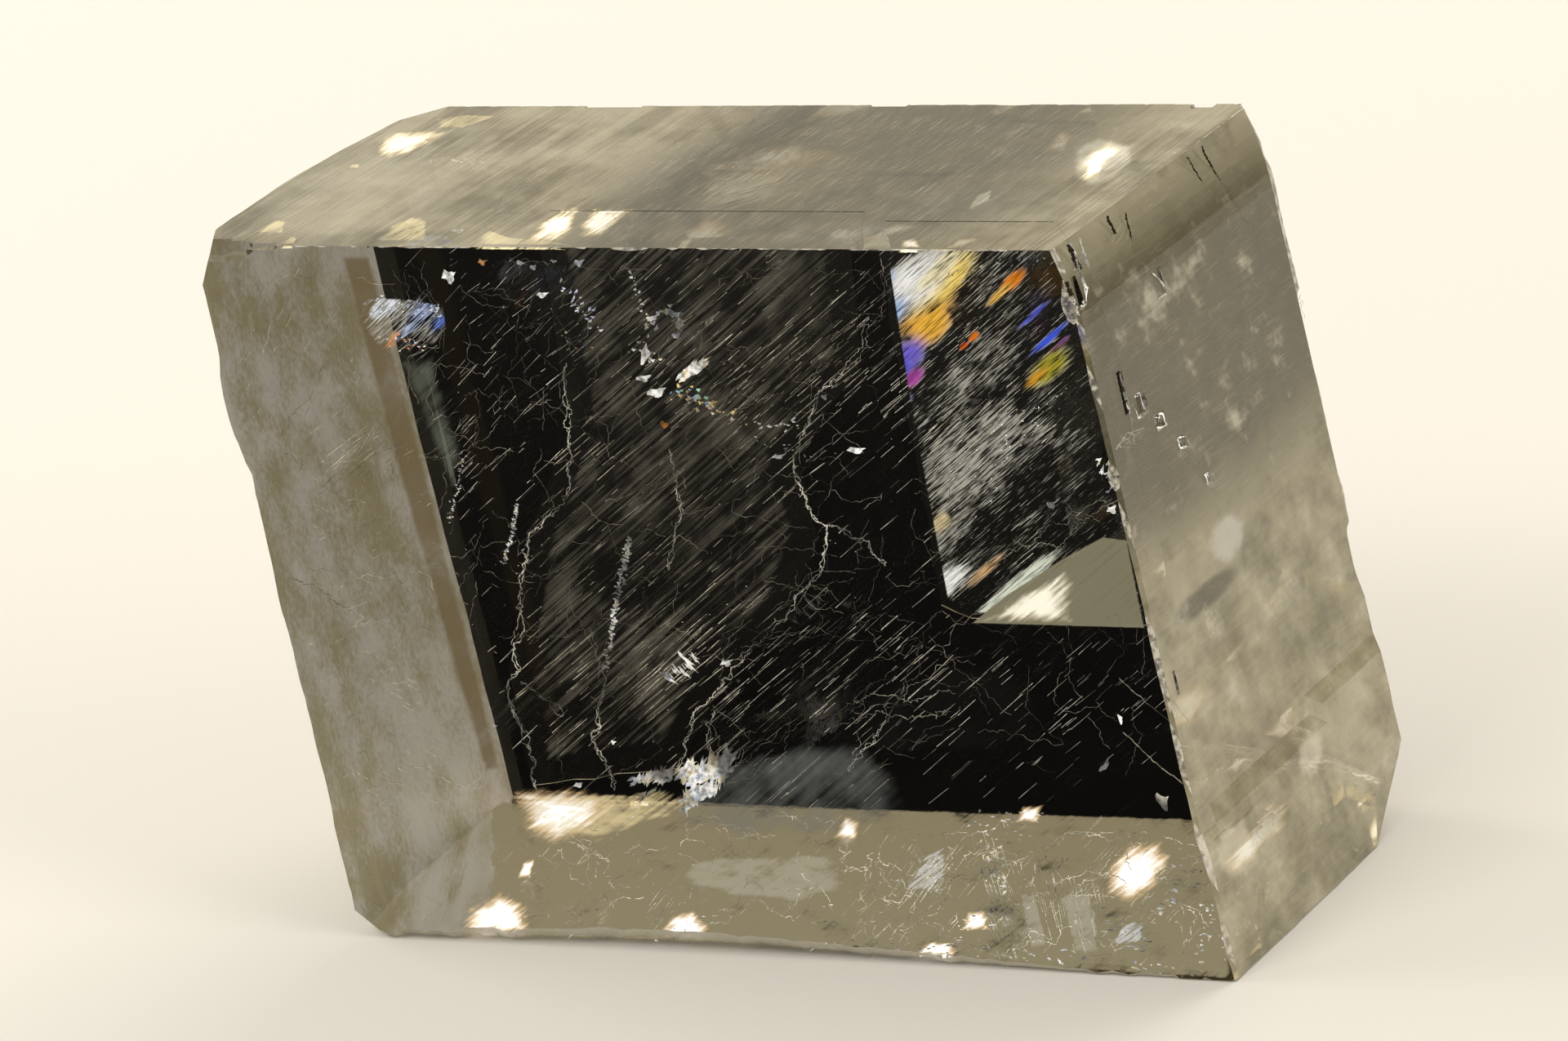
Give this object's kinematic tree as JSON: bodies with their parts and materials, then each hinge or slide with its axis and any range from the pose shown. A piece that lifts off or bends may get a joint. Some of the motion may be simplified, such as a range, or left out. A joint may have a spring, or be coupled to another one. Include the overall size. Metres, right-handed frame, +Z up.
{
  "type": "calcite specimen",
  "caption": "Clear calcite cleavage block, a slanted rhombohedron with flat faces, a rough fractured end, chipped edges and rhombic pits, resting on a cleavage face.",
  "frame": {"origin": "on the lower cleavage face, under the middle of the bounding box", "axes": "+X to the right along the long front edges, +Y from the front cleavage face to the back, +Z up from the lower cleavage face to the upper one"},
  "size_m": [0.143, 0.073, 0.0857],
  "materials": {
    "clear_spar": "clear calcite with a faint smoky beige cast, glassy on the cleavage faces and frosted on the fractured left end"
  },
  "bodies": {
    "root": {"calcite_rhomb": "clear_spar"}
  },
  "joints": []
}
